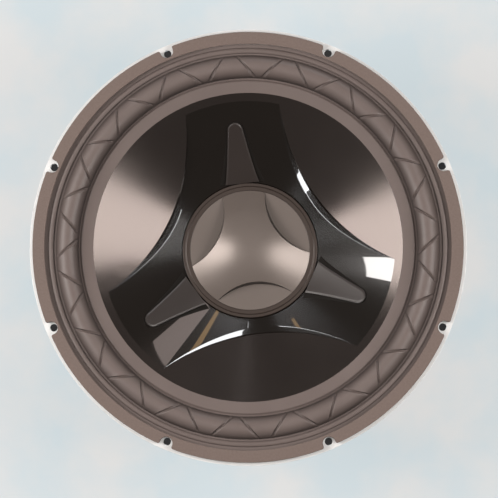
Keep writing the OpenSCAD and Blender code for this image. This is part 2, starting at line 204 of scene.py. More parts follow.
def textured_rubber(name, dark, light, low, high, scale, depth):
    """Rubber or plastic straight from a spark-eroded mould: fine pebbles, with slow changes of gloss."""
    material, tree, shader = principled(name, {"Specular IOR Level": 0.4})
    point = object_point(tree)
    drift = noise(tree, point, 30, 5)
    pebbles = noise(tree, point, scale, 2)
    paint(tree, shader, drift, dark, light)
    vary_gloss(tree, shader, drift, low, high)
    raise_grain(tree, shader, pebbles, depth)
    return material


boot_rubber = textured_rubber("boot_rubber", (0.012, 0.012, 0.012), (0.024, 0.023, 0.022), 0.48, 0.66,
                              1600, 0.12 * MM)
rounded_copy("magnet_boot", "frame", boot_rubber, 0.55 * MM)

# Vent screen: a stamped steel disc with hexagonal holes, blackened, set in the mouth of the vent.
black_steel = turned_steel("black_steel", (0.030, 0.030, 0.032), (0.060, 0.060, 0.060), 0.42)
dress("vent_screen", black_steel)

# Basket: one aluminium casting with six ribbed spokes, shot blasted and sprayed silver. It is screwed
# to the top plate and carries every fixed piece in front of the motor. Below the flange's face its colour
# is darkened with painted shade, so that it does not glare in the soft boxes' light.


def tone_down(tree, shader, share):
    """Multiplies the base colour by the share, which goes from 0 to 1."""
    colour = shader.inputs["Base Color"].links[0].from_socket
    toned = add_node(tree, "VectorMath", {0: colour, 1: share}, operation="MULTIPLY")
    tree.links.new(toned.outputs[0], shader.inputs["Base Color"])


silver_paint, tree, shader = principled("silver_paint", {"Metallic": 0.5, "Coat Weight": 0.15,
                                                         "Coat Roughness": 0.25})
point = object_point(tree)
flakes = noise(tree, point, 5200, 1)
blasting = noise(tree, point, 900, 4)
paint(tree, shader, flakes, (0.72, 0.725, 0.73), (0.93, 0.93, 0.92))
vary_gloss(tree, shader, noise(tree, point, 60), 0.34, 0.48)
raise_grain(tree, shader, blasting, 0.06 * MM)
# Painted shade: below the flange's face the silver colour falls to about half.
tone_low_z, tone_high_z, painted_shade_tone = 138.5 * MM, 139.2 * MM, 0.52
height = add_node(tree, "SeparateXYZ", {"Vector": point}).outputs["Z"]
skin = add_node(tree, "MapRange", {"Value": height, "From Min": tone_low_z, "From Max": tone_high_z,
                                   "To Min": painted_shade_tone})
tone_down(tree, shader, skin.outputs[0])
rounded_copy("basket", "frame", silver_paint, 0.5 * MM)

# Plate screws: six blackened socket screws through the basket's base into the top plate.
rounded_copy("plate_screws", "frame", black_steel, 0.25 * MM)

# Terminal block: a glass-filled nylon moulding on the basket, with two screws, two brass contacts and
# two spring-loaded push buttons. A bare wire goes in through the port beside a pressed button.
black_nylon = textured_rubber("black_nylon", (0.014, 0.014, 0.015), (0.026, 0.026, 0.027), 0.38, 0.55,
                              2400, 0.05 * MM)
red_plastic = textured_rubber("red_plastic", (0.42, 0.012, 0.010), (0.55, 0.022, 0.016), 0.26, 0.4,
                              2400, 0.02 * MM)
black_plastic = textured_rubber("black_plastic", (0.010, 0.010, 0.010), (0.020, 0.020, 0.020), 0.24, 0.36,
                                2400, 0.02 * MM)
brass = turned_steel("brass", (0.62, 0.43, 0.16), (0.80, 0.60, 0.27), 0.3)
rounded_copy("terminal_block", "frame", black_nylon, 0.4 * MM)
rounded_copy("terminal_screws", "frame", zinc_steel, 0.15 * MM)
rounded_copy("terminal_contacts", "frame", brass, 0.1 * MM)
rounded_copy("terminal_button_positive", "positive_button", red_plastic, 0.35 * MM)
rounded_copy("terminal_button_negative", "negative_button", black_plastic, 0.35 * MM)

# Button springs: hard-drawn steel wire, four free turns between the pocket's back and the button.


def sweep_wire(bm, route, radius, sides):
    """A round wire along the route, closed at both ends: one circle, extruded from point to point."""
    across = (route[1] - route[0]).orthogonal().normalized()
    start = bmesh.ops.create_circle(bm, cap_ends=False, segments=sides, radius=radius)["verts"]
    loop = list({e for v in start for e in v.link_edges})
    ring = start
    caps = []
    for i, place in enumerate(route):
        along = (route[min(i + 1, len(route) - 1)] - route[max(i - 1, 0)]).normalized()
        across = (across - along * across.dot(along)).normalized()
        if i > 0:
            grown = bmesh.ops.extrude_edge_only(bm, edges=loop)["geom"]
            loop = [g for g in grown if isinstance(g, bmesh.types.BMEdge)]
            ring = [g for g in grown if isinstance(g, bmesh.types.BMVert)]
        beside = along.cross(across)
        for k, vert in enumerate(ring):
            turn = 2 * math.pi * k / sides
            vert.co = place + radius * (math.cos(turn) * across + math.sin(turn) * beside)
        if i in (0, len(route) - 1):
            caps += loop
    bmesh.ops.holes_fill(bm, edges=caps, sides=sides)


spring_wire = turned_steel("spring_wire", (0.50, 0.50, 0.50), (0.68, 0.68, 0.67), 0.24)
spring_turns, steps_a_turn, spring_wire_r = 4, 20, 0.3 * MM
for pole in ("positive", "negative"):
    low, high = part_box("terminal_spring_" + pole)
    middle = (low + high) / 2
    coil_r = (high.x - low.x) / 2 - spring_wire_r
    count = spring_turns * steps_a_turn
    bm = bmesh.new()
    sweep_wire(bm, [Vector((middle.x + coil_r * math.cos(2 * math.pi * i / steps_a_turn),
                            low.y + spring_wire_r + (high.y - low.y - 2 * spring_wire_r) * i / count,
                            middle.z + coil_r * math.sin(2 * math.pi * i / steps_a_turn)))
                    for i in range(count + 1)], spring_wire_r, 10)
    bmesh.ops.recalc_face_normals(bm, faces=bm.faces)
    spring = make_piece("button_spring_" + pole, bm, spring_wire,
                        ["terminal_spring_" + pole], "frame")
    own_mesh(spring)

# Voice coil: an amber polyimide tube in the magnet gap, wound in two layers with enamelled copper. The
# winding's turns lie side by side, so they show as fine level lines.
amber_film, tree, shader = principled("amber_film", {"Coat Weight": 0.6, "Coat Roughness": 0.12})
point = object_point(tree)
paint(tree, shader, noise(tree, point, 120), (0.26, 0.10, 0.020), (0.38, 0.17, 0.040))
vary_gloss(tree, shader, noise(tree, point, 60), 0.22, 0.36)
dress("voice_coil_former", amber_film)

copper_turns, tree, shader = principled("copper_turns", {"Metallic": 1.0, "Coat Weight": 0.5,
                                                         "Coat Roughness": 0.2})
point = object_point(tree)
turns = add_node(tree, "TexWave", {"Vector": point, "Scale": 800.0}, wave_type="BANDS",
                 bands_direction="Z").outputs["Fac"]
paint(tree, shader, turns, (0.30, 0.10, 0.035), (0.72, 0.33, 0.14))
vary_gloss(tree, shader, noise(tree, point, 200), 0.24, 0.38)
raise_grain(tree, shader, turns, 0.12 * MM)
dress("voice_coil_winding", copper_turns)

# Spider: cotton cloth dipped in resin and hot pressed into rings of corrugations. Its collar is glued
# round the former and its rim on the basket's shelf, so it flexes between them.


def blend_round(piece, outer_r, inner_r):
    """The piece stays with the frame outside outer_r and moves with the cone inside inner_r."""
    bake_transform(piece, "frame", "cone_assembly", start=(outer_r, 0, 0), end=(inner_r, 0, 0))
    weights = piece.data.attributes["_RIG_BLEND"].data
    for vert, weight in zip(piece.data.vertices, weights):
        share = (outer_r - vert.co.xy.length) / (outer_r - inner_r)
        share = min(max(share, 0), 1)
        weight.value = share * share * (3 - 2 * share)


def spin_round(bm, steps):
    """Spins the bmesh's chain of edges once round the axis and closes the skin."""
    bmesh.ops.spin(bm, geom=bm.verts[:] + bm.edges[:], cent=(0, 0, 0), axis=(0, 0, 1),
                   angle=2 * math.pi, steps=steps, use_merge=True)
    bmesh.ops.remove_doubles(bm, verts=bm.verts, dist=0.005 * MM)
    bmesh.ops.recalc_face_normals(bm, faces=bm.faces)


def chain(bm, points, closed=False):
    """Edges from point to point, each given as (radius, height), in the plane of X and Z."""
    verts = [bm.verts.new((r, 0, z)) for r, z in points]
    ends = verts[1:] + verts[:1] if closed else verts[1:]
    for start, end in zip(verts, ends):
        bm.edges.new((start, end))


spider_cloth, tree, shader = principled("spider_cloth", {"Sheen Weight": 0.15, "Specular IOR Level": 0.3})
point = object_point(tree)
warp = add_node(tree, "TexWave", {"Vector": point, "Scale": 330.0, "Distortion": 0.5},
                wave_type="BANDS", bands_direction="X").outputs["Fac"]
weft = add_node(tree, "TexWave", {"Vector": point, "Scale": 330.0, "Distortion": 0.5},
                wave_type="BANDS", bands_direction="Y").outputs["Fac"]
weave = add_node(tree, "Math", {0: warp, 1: weft}, operation="MULTIPLY").outputs[0]
resin = noise(tree, point, 40, 4)
worn = add_node(tree, "Math", {0: weave, 1: resin}, operation="MULTIPLY").outputs[0]
paint(tree, shader, worn, (0.30, 0.17, 0.045), (0.72, 0.50, 0.18))
vary_gloss(tree, shader, resin, 0.55, 0.8)
raise_grain(tree, shader, weave, 0.15 * MM)

low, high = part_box("spider")
cloth_t, bend_r, bend_count, first_bend_r = 0.7 * MM, 3 * MM, 7, 38 * MM
cloth_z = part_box("basket")[0].z + 23 * MM + cloth_t / 2
collar_r = 31.3 * MM + cloth_t / 2
bends = [(first_bend_r + (2 * i - math.cos(t * math.pi / 10)) * bend_r,
          cloth_z + (-1) ** i * math.sin(t * math.pi / 10) * bend_r)
         for i in range(bend_count) for t in range(1, 10)]
bm = bmesh.new()
last_bend_r = first_bend_r + (2 * bend_count - 1) * bend_r
chain(bm, [(collar_r, high.z), (collar_r, cloth_z + 0.8 * MM), (collar_r + 0.8 * MM, cloth_z), *bends,
           (last_bend_r + 0.4 * MM, cloth_z), (high.x - cloth_t / 2, cloth_z)])
spin_round(bm, 144)
bmesh.ops.solidify(bm, geom=bm.faces[:], thickness=cloth_t)
bmesh.ops.translate(bm, verts=bm.verts, vec=(0, 0, cloth_t / 2))
spider = make_piece("spider_corrugated_cloth", bm, spider_cloth, ["spider"])
still_r, moving_r = 80 * MM, 36 * MM
blend_round(spider, still_r, moving_r)

# Neck bead: a fillet of rubber-toughened black adhesive in the angle between the former and the cone.
adhesive, tree, shader = principled("adhesive", {"Coat Weight": 0.4, "Coat Roughness": 0.1})
point = object_point(tree)
paint(tree, shader, noise(tree, point, 90), (0.012, 0.010, 0.009), (0.030, 0.025, 0.021))
vary_gloss(tree, shader, noise(tree, point, 200), 0.2, 0.35)
raise_grain(tree, shader, noise(tree, point, 130), 0.25 * MM)
dress("neck_glue_bead", adhesive)

# Cone: injection-moulded plastic sprayed in dark satin metallic paint. It has a flat lip for the
# surround, a satin band, and three lens-shaped panels between the arms of the gloss inlay.


def satin_paint(name, dark, light, low, high, sockets):
    """Sprayed satin paint: tiny flakes, the faint orange peel of a spray gun, and a slow drift of gloss."""
    material, tree, shader = principled(name, sockets)
    point = object_point(tree)
    drift = noise(tree, point, 26, 4)
    flakes = noise(tree, point, 3600, 1)
    shade = add_node(tree, "Mix", {0: 0.6, 2: drift, 3: flakes}, data_type="FLOAT").outputs[0]
    paint(tree, shader, shade, dark, light)
    vary_gloss(tree, shader, drift, low, high)
    raise_grain(tree, shader, noise(tree, point, 850, 2), 0.012 * MM)
    return material


satin_cone = satin_paint("satin_cone", (0.056, 0.046, 0.043), (0.078, 0.065, 0.059), 0.17, 0.23,
                         {"Metallic": 0.75, "Specular IOR Level": 0.5})
dress("cone", satin_cone)

# Lead eyelets: brass tubes bonded under the cone, where the tinsel leads end.
rounded_copy("lead_eyelets", "cone_assembly", brass, 0.1 * MM)

# Tri-arm inlay: a three-armed shell, vacuum coated and lacquered gloss black, glued in the cone's
# recess. Its borders climb in a slanted wall to the edge of each lens panel.
cap_ring_r = 48.8 * MM
arm_r = 105 * MM
arm_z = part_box("tri_arm_inlay")[1].z
first_arm = math.radians(96.5)
panel_arc_r, panel_arc_at = 146 * MM, 207.5 * MM
panel_rise = math.tan(math.radians(28))
valley_rise, valley_dish = 0.605, 0.3


def valley_z(r):
    """The gloss valley is dished a little: it flattens towards the rim."""
    run = arm_r - r
    return arm_z - run * (valley_rise + valley_dish * run)


def panel_z(r):
    return arm_z - (arm_r - r) * panel_rise


def lens_edge(turn, arc_r, arc_at):
    """Where a ray, turned from the lens's middle line, meets the lens's arc: its distance from the axis,
    and the cosine of the angle at which it crosses."""
    along = math.sqrt(arc_r**2 - (arc_at * math.sin(turn)) ** 2)
    return arc_at * math.cos(turn) - along, along / arc_r


def lens_half(arc_r, arc_at, outer_r):
    """Half of the angle that the lens takes up where it meets the circle outside it."""
    return math.acos((outer_r**2 + arc_at**2 - arc_r**2) / (2 * outer_r * arc_at))


def eased_step(x, fillet):
    """A ramp from (0, 0) to (1, 1) with a rounded foot and a rounded brow."""
    if x < fillet:
        return x * x / (2 * fillet * (1 - fillet))
    if x > 1 - fillet:
        return 1 - (1 - x) ** 2 / (2 * fillet * (1 - fillet))
    return (x - fillet / 2) / (1 - fillet)


def spun_sheet(bm, rows, turns, place):
    """A sheet of rows by columns: a chain spun into a grid, whose every corner then goes to the radius,
    angle and height that place(row, turn) gives for it."""
    start = [bm.verts.new((row + 1, 0, 0)) for row in range(rows)]
    edges = [bm.edges.new(pair) for pair in zip(start, start[1:])]
    last = len(turns) - 1
    bmesh.ops.spin(bm, geom=start + edges, cent=(0, 0, 0), axis=(0, 0, 1), angle=1, steps=last)
    for vert in bm.verts:
        column = round(math.atan2(vert.co.y, vert.co.x) * last)
        r, angle, z = place(round(vert.co.length) - 1, turns[column])
        vert.co = (r * math.cos(angle), r * math.sin(angle), z)


def repeat_round(bm, count, start):
    """Mirrors the half sector, whose first side lies along X, and repeats the whole of it round the axis."""
    bmesh.ops.mirror(bm, geom=bm.verts[:] + bm.edges[:] + bm.faces[:], matrix=Matrix.Identity(4),
                     merge_dist=0.002 * MM, axis="Y")
    bmesh.ops.rotate(bm, verts=bm.verts, cent=(0, 0, 0), matrix=Matrix.Rotation(start, 3, "Z"))
    bmesh.ops.spin(bm, geom=bm.verts[:] + bm.edges[:] + bm.faces[:], cent=(0, 0, 0), axis=(0, 0, 1),
                   angle=2 * math.pi * (count - 1) / count, steps=count - 1, use_duplicate=True)
    bmesh.ops.remove_doubles(bm, verts=bm.verts, dist=0.003 * MM)
    bmesh.ops.dissolve_degenerate(bm, edges=bm.edges, dist=0.001 * MM)
    bmesh.ops.recalc_face_normals(bm, faces=bm.faces)
    if sum(f.normal.z * f.calc_area() for f in bm.faces) < 0:
        bmesh.ops.reverse_faces(bm, faces=bm.faces)


def thicken_down(bm, depth):
    """Closes a sheet that faces up into a shell of that depth below it."""
    grown = bmesh.ops.extrude_face_region(bm, geom=bm.faces[:], use_keep_orig=True)["geom"]
    bmesh.ops.translate(bm, verts=[g for g in grown if isinstance(g, bmesh.types.BMVert)],
                        vec=(0, 0, -depth))
    bmesh.ops.recalc_face_normals(bm, faces=bm.faces)


gloss_black, tree, shader = principled("gloss_black", {"Coat Weight": 1.0, "Coat Roughness": 0.02,
                                                       "Coat IOR": 1.75, "Roughness": 0.2,
                                                       "Specular IOR Level": 0.25})
point = object_point(tree)
paint(tree, shader, noise(tree, point, 20), (0.0054, 0.0040, 0.0032), (0.0088, 0.0066, 0.0054))
raise_grain(tree, shader, noise(tree, point, 260, 1), 0.006 * MM)

panel_half = lens_half(panel_arc_r, panel_arc_at, arm_r)
ramp_run, ramp_rise, ramp_foot = 1.2, 0.075, 0.2
wall_run = 0.28
wall_steps = [0, 0.05, 0.1, 0.15, 0.2, 0.25, 0.3, 0.4, 0.5, 0.6, 0.7, 0.75, 0.8, 0.85, 0.9, 0.95, 1]
valley_rows, ramp_rows = 14, 8
brow = 0.12 * MM


def inlay_place(row, turn):
    """Row by row outwards: the valley, a slightly steeper ramp, and the wall up to the lens panel."""
    edge, square = lens_edge(turn, panel_arc_r, panel_arc_at) if turn < panel_half else (arm_r, 1)
    height = panel_z(edge) - valley_z(edge)
    foot = edge - wall_run * height / square
    start = foot - ramp_run * height / square
    if row < valley_rows:
        r = cap_ring_r + (start - cap_ring_r) * row / valley_rows
        return r, turn, valley_z(r)
    x = 0
    if row < valley_rows + ramp_rows:
        r = start + (foot - start) * (row - valley_rows) / ramp_rows
    else:
        x = wall_steps[row - valley_rows - ramp_rows]
        r = foot + (edge - foot) * x
    bend = max(ramp_foot * (foot - start), 1e-9)
    climb, all_climb = [ramp_rise * (d * d / (2 * bend) if d < bend else d - bend / 2)
                        for d in (r - start, edge - start)]
    step = height + brow * min(1, height / (0.5 * MM)) - all_climb
    return r, turn, valley_z(r) + climb + step * eased_step(x, 0.3)


lens_columns = 44
arm_columns = 16
inlay_turns = [panel_half * math.sin(i / lens_columns * math.pi / 2) for i in range(lens_columns + 1)]
inlay_turns += [panel_half + (math.pi / 3 - panel_half) * i / arm_columns for i in range(1, arm_columns + 1)]
bm = bmesh.new()
spun_sheet(bm, valley_rows + ramp_rows + len(wall_steps), inlay_turns, inlay_place)
repeat_round(bm, 3, first_arm - math.pi / 3)
thicken_down(bm, 0.9 * MM)
make_piece("tri_arm_inlay_shell", bm, gloss_black, ["tri_arm_inlay"], "cone_assembly")

# Arm fingers: three satin plastic strips that lie along the arms, each glued on the gloss shell with
# its foot against the cap's ring. A pad of matt black film under each, widening towards the ring, draws
# the dark outline round the finger as painted shade.
satin_finger = satin_paint("satin_finger", (0.024, 0.018, 0.016), (0.034, 0.026, 0.023), 0.36, 0.42,
                           {"Metallic": 0.1, "Specular IOR Level": 0.65})
outline_shade_film, tree, shader = principled("outline_shade_film", {"Specular IOR Level": 0.12})
point = object_point(tree)
paint(tree, shader, noise(tree, point, 200), (0.007, 0.0055, 0.0045), (0.011, 0.009, 0.0075))
vary_gloss(tree, shader, noise(tree, point, 40), 0.6, 0.75)
finger_tip_r, finger_tip_half, finger_foot_half = 90.6 * MM, 5.5 * MM, 12.3 * MM
pad_tip_spread, pad_foot_spread, pad_rise, pad_h = 0.9 * MM, 4.2 * MM, 0.3, 0.5 * MM
finger_h, finger_bevel = 1.9 * MM, 1.3 * MM


def finger_shapes(tip_r, tip_half, foot_half, height_at):
    """Three tapered fingers with round tips and flared feet. height_at gives a point's height above the
    valley from how far it lies inside the outline."""
    bm = bmesh.new()
    tip_centre_r = tip_r - tip_half
    grid = bmesh.ops.create_grid(bm, x_segments=48, y_segments=24, size=1)["verts"]
    for vert in grid:
        x = cap_ring_r + (tip_r - cap_ring_r) * math.sin((vert.co.x + 1) / 2 * math.pi / 2)
        towards_foot = max((tip_centre_r - x) / (tip_centre_r - cap_ring_r), 0)
        half = tip_half + (foot_half - tip_half) * (0.85 * towards_foot + 0.15 * towards_foot**4)
        if x > tip_centre_r:
            half = math.sqrt(max(tip_half**2 - (x - tip_centre_r) ** 2, 0))
        y = half * math.sin(vert.co.y * math.pi / 2)
        inset = half - abs(y)
        if x > tip_centre_r:
            inset = tip_half - math.hypot(x - tip_centre_r, y)
        vert.co = (x, y, valley_z(math.hypot(x, y)) + height_at(max(inset, 0)))
    bmesh.ops.remove_doubles(bm, verts=bm.verts, dist=0.003 * MM)
    bmesh.ops.dissolve_degenerate(bm, edges=bm.edges, dist=0.001 * MM)
    thicken_down(bm, 1.2 * MM)
    bmesh.ops.rotate(bm, verts=bm.verts, cent=(0, 0, 0), matrix=Matrix.Rotation(first_arm, 3, "Z"))
    bmesh.ops.spin(bm, geom=bm.verts[:] + bm.edges[:] + bm.faces[:], cent=(0, 0, 0), axis=(0, 0, 1),
                   angle=4 * math.pi / 3, steps=2, use_duplicate=True)
    return bm


def shade_sides(material, dim, low=0.2, high=0.8):
    """Darkens the base colour on steep faces, where the upward part of the normal falls below high. The
    shade is painted in, so it stays under any light."""
    tree = material.node_tree
    shader = tree.nodes["Principled BSDF"]
    normal = tree.nodes.new("ShaderNodeTexCoord").outputs["Normal"]
    upward = add_node(tree, "SeparateXYZ", {"Vector": normal}).outputs["Z"]
    share = add_node(tree, "MapRange", {"Value": upward, "From Min": low, "From Max": high, "To Min": dim})
    tone_down(tree, shader, share.outputs[0])


def pad_height(inset):
    return min(pad_rise * inset, pad_h)


def finger_height(inset):
    return finger_h * (0.75 + 0.25 * eased_step(min(inset / finger_bevel, 1), 0.5))


# The black pads stand for the shade in the gap round each finger: painted shade.
bm = finger_shapes(finger_tip_r + pad_tip_spread, finger_tip_half + pad_tip_spread,
                   finger_foot_half + pad_foot_spread, pad_height)
make_piece("finger_outline_shade_pads", bm, outline_shade_film, [], "cone_assembly")
bm = finger_shapes(finger_tip_r, finger_tip_half, finger_foot_half, finger_height)
make_piece("arm_fingers_satin", bm, satin_finger, ["arm_fingers"], "cone_assembly")
# Painted shade: the fingers' steep flanks are darkened in colour.
shade_sides(satin_finger, 0.1, 0.45, 0.8)

# Cap ring: a moulded trim ring in two steps, painted satin bronze, that holds the dust cap's edge. Its
# steep sides are darkened with painted shade, which draws dark outlines round the steps.
ring_satin = satin_paint("ring_satin", (0.041, 0.029, 0.024), (0.064, 0.047, 0.039), 0.28, 0.36,
                         {"Metallic": 0.3, "Specular IOR Level": 0.5})
shade_sides(ring_satin, 0.15)
bm = packed_shape("dust_cap_ring")
round_edges(bm, 0.35 * MM, 3)
make_piece("dust_cap_trim_ring", bm, ring_satin, ["dust_cap_ring"], "cone_assembly")

# Dust cap: a thin moulded dome in satin metallic paint, with three flat lands let into its edge behind
# nearly upright walls. Its steep faces are darkened in colour as painted shade.
cap_satin = satin_paint("cap_satin", (0.152, 0.125, 0.110), (0.186, 0.155, 0.139), 0.30, 0.37,
                        {"Metallic": 0.35, "Specular IOR Level": 0.5})
shade_sides(cap_satin, 0.08)
cap_r, dome_bend_r, cap_t = 43.2 * MM, 25 * MM, 1.2 * MM
land_arc_r, land_arc_at = 47 * MM, 72 * MM
cap_low, cap_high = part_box("dust_cap")
cap_rim_z = 105 * MM
dome_fall = (cap_high.z - cap_rim_z) / (math.hypot(1, cap_r / dome_bend_r) - 1)
land_z = cap_rim_z - 0.4 * MM
draft = math.tan(math.radians(10))
land_half = lens_half(land_arc_r, land_arc_at, cap_r)
dome_rows, land_rows = 14, 3


def dome_z(r):
    """Round at the top and nearly straight towards the edge."""
    return cap_high.z - dome_fall * (math.hypot(1, r / dome_bend_r) - 1)


def cap_place(row, turn):
    edge, square = lens_edge(turn, land_arc_r, land_arc_at) if turn < land_half else (cap_r, 1)
    drop = dome_z(edge) - land_z if turn < land_half else 0
    brow_r = edge - draft * drop / square
    if row <= dome_rows:
        r = brow_r * math.sin(row / dome_rows * math.pi / 2)
        return r, turn, dome_z(r)
    if row < dome_rows + len(wall_steps):
        x = wall_steps[row - dome_rows]
        r = brow_r + (edge - brow_r) * x
        return r, turn, dome_z(r) - drop * eased_step(x, 0.24)
    if row < dome_rows + len(wall_steps) + land_rows:
        r = edge + (cap_r - edge) * (row - dome_rows - len(wall_steps) + 1) / land_rows
        return r, turn, land_z if turn < land_half else dome_z(r)
    return cap_r, turn, cap_low.z


cap_turns = [land_half * math.sin(i / lens_columns * math.pi / 2) for i in range(lens_columns + 1)]
cap_turns += [land_half + (math.pi / 3 - land_half) * i / arm_columns for i in range(1, arm_columns + 1)]
bm = bmesh.new()
spun_sheet(bm, dome_rows + len(wall_steps) + land_rows + 1, cap_turns, cap_place)
repeat_round(bm, 3, first_arm - math.pi / 3)
bmesh.ops.solidify(bm, geom=bm.faces[:], thickness=cap_t)
make_piece("dust_cap_dome", bm, cap_satin, ["dust_cap"], "cone_assembly")

# Tinsel leads: flat copper foil twisted with cotton and tinned, seven strands to a lead. Each hangs in
# a shallow loop from a contact tab to an eyelet under the cone, and bends as the cone moves.
tinned_strand = turned_steel("tinned_strand", (0.46, 0.42, 0.36), (0.72, 0.68, 0.60), 0.36)
lead_route = [(96.7, 86.8), (93.5, 88), (89, 89.8), (85, 90), (81, 89), (77, 88.6), (73, 90),
              (69.8, 93), (67.8, 97), (66.6, 101), (66, 105), (66, 107.2)]
strand_count, strand_r, twist_pitch = 6, 0.28 * MM, 5 * MM


def smooth_route(points, parts):
    """A Catmull-Rom curve through the points, each stretch cut into that many parts."""
    route = []
    for i in range(len(points) - 1):
        before, start, end, after = (points[min(max(i + k, 0), len(points) - 1)] for k in (-1, 0, 1, 2))
        for part in range(parts):
            t = part / parts
            route.append(0.5 * (2 * start + (end - before) * t
                                + (2 * before - 5 * start + 4 * end - after) * t * t
                                + (3 * start - before - 3 * end + after) * t**3))
    return route + [points[-1]]


for pole in ("positive", "negative"):
    low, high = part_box("tinsel_lead_" + pole)
    middle_x = (low.x + high.x) / 2
    core = smooth_route([Vector((middle_x, y * MM, z * MM)) for y, z in lead_route], 6)
    bm = bmesh.new()
    sweep_wire(bm, core, strand_r, 8)
    for strand in range(strand_count):
        run = 0
        twisted = []
        for i, place in enumerate(core):
            along = (core[min(i + 1, len(core) - 1)] - core[max(i - 1, 0)]).normalized()
            beside = Vector((1, 0, 0))
            above = along.cross(beside)
            run += (place - core[max(i - 1, 0)]).length
            turn = 2 * math.pi * (run / twist_pitch + strand / strand_count)
            twisted.append(place + 2 * strand_r * (math.cos(turn) * beside + math.sin(turn) * above))
        sweep_wire(bm, twisted, strand_r, 8)
    bmesh.ops.recalc_face_normals(bm, faces=bm.faces)
    lead = make_piece("tinsel_lead_" + pole + "_braid", bm, tinned_strand,
                      ["tinsel_lead_" + pole])
    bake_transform(lead, "frame", "cone_assembly", start=core[0], end=core[-1])

# Surround: one butyl rubber moulding. Its half roll is creased by V-shaped grooves that let it stretch
# evenly. It is glued on the cone's lip inside, and outside on the flange, where a flat bead borders it.


def scalloped_sheet(bm, inner_r, outer_r, notch_r, notch_half, mouth_r, z):
    """A flat ring at height z, notched from its rim round each mounting hole. A notch has a round end at
    notch_r and flares out to the rim."""
    hole_count = 8
    sector = math.pi / hole_count
    rim_x = math.sqrt(outer_r**2 - (notch_half + mouth_r) ** 2)
    flare = [(rim_x - mouth_r + mouth_r * math.sin(t), notch_half + mouth_r - mouth_r * math.cos(t))
             for t in [k * math.pi / 12 for k in range(7)]]
    end_x = notch_r + notch_half
    end = [(end_x - notch_half * math.cos(t), notch_half * math.sin(t))
           for t in [k * math.pi / 16 for k in range(9)]]
    half = end + flare
    mouth = math.atan2(half[-1][1], half[-1][0])
    rim = [mouth + (sector - mouth) * k / 18 for k in range(1, 19)]
    outline = half + [(outer_r * math.cos(a), outer_r * math.sin(a)) for a in rim]
    inner = [sector * k / 18 for k in range(18, -1, -1)]
    outline += [(inner_r * math.cos(a), inner_r * math.sin(a)) for a in inner]
    bm.faces.new([bm.verts.new((x, y, z)) for x, y in outline])
    repeat_round(bm, hole_count, sector)


def raise_up(bm, height):
    """Closes a flat sheet into a slab of that height above it."""
    grown = bmesh.ops.extrude_face_region(bm, geom=bm.faces[:], use_keep_orig=True)["geom"]
    bmesh.ops.translate(bm, verts=[g for g in grown if isinstance(g, bmesh.types.BMVert)],
                        vec=(0, 0, height))
    bmesh.ops.recalc_face_normals(bm, faces=bm.faces)


surround_rubber = textured_rubber("surround_rubber", (0.118, 0.091, 0.083), (0.148, 0.116, 0.106),
                                  0.42, 0.52, 1500, 0.02 * MM)
# Painted shade: the rubber's faces are darker in colour the steeper they are.
shade_sides(surround_rubber, 0.30, 0.15, 0.97)
basket_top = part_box("basket")[1].z
surround_low, surround_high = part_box("surround")
rubber_t = 1.2 * MM
inner_top = surround_low.z + rubber_t
flange_top = basket_top + rubber_t
roll_mid_r, roll_half, roll_h = 129.2 * MM, 8.1 * MM, surround_high.z - surround_low.z - rubber_t
inner_r = 110.5 * MM
bead_mid_r, bead_half, bead_h = 140.6 * MM, 2.1 * MM, 1.25 * MM
crease_count = 20
first_crease = math.radians(14.3)
crease_depth, crease_width, crease_slant = 1.1 * MM, 0.75 * MM, 0.78
crease_start_r, crease_end_r = 121.0 * MM, 137.1 * MM
crease_fade_in, crease_fade_out = 1.6 * MM, 2 * MM
lip_h, lip_at, lip_width = 0.2 * MM, 1.2 * MM, 0.4 * MM
left_columns, right_columns = 3, 5
crease_steps = [-2.1, -1.6, -1.2, -0.8, -0.4, 0, 0.4, 0.8, 1.2, 1.6, 2.1]

roll_turns = [math.radians(178 - 172 * i / 34) for i in range(35)]
under_turns = [math.radians(2 + 176 * i / 20) for i in range(21)]
profile = [(inner_r, surround_low.z), (inner_r, inner_top - 0.95 * MM),
           (inner_r + 0.3 * MM, inner_top - 0.8 * MM), (113 * MM, inner_top - 0.53 * MM),
           (118 * MM, inner_top - 0.02 * MM), (118.5 * MM, inner_top), (119 * MM, inner_top - 0.15 * MM),
           (119.5 * MM, inner_top - 0.6 * MM), (120 * MM, inner_top - 0.95 * MM),
           (120.9 * MM, inner_top - 0.95 * MM)]
top_rows = range(len(profile), len(profile) + len(roll_turns))
profile += [(roll_mid_r + roll_half * math.cos(t), inner_top + roll_h * math.sin(t)) for t in roll_turns]
profile += [(roll_mid_r + roll_half + 0.3 * MM, flange_top - 0.1 * MM)]
profile += [(bead_mid_r + bead_half * math.cos(t), flange_top + bead_h * math.sin(t))
            for t in [math.pi * k / 12 for k in range(12, -1, -1)]]
profile += [(143.4 * MM, flange_top), (145.2 * MM, flange_top), (145.2 * MM, basket_top + 0.02 * MM),
            (140 * MM, basket_top + 0.02 * MM), (roll_mid_r + roll_half - rubber_t, basket_top + 0.02 * MM)]
under_rows = range(len(profile), len(profile) + len(under_turns))
profile += [(roll_mid_r + (roll_half - rubber_t) * math.cos(t), inner_top + (roll_h - rubber_t) * math.sin(t))
            for t in under_turns]
profile += [(roll_mid_r - roll_half + 0.3 * MM, surround_low.z), (inner_r + 4 * MM, surround_low.z)]


def crease_turn(r):
    """How far, in radians, a crease stands from the middle line of its V at the radius r."""
    share = min(max((r - crease_start_r) / (crease_end_r - crease_start_r), 0), 1)
    return math.radians(1.15 + 5.95 * share**0.92)


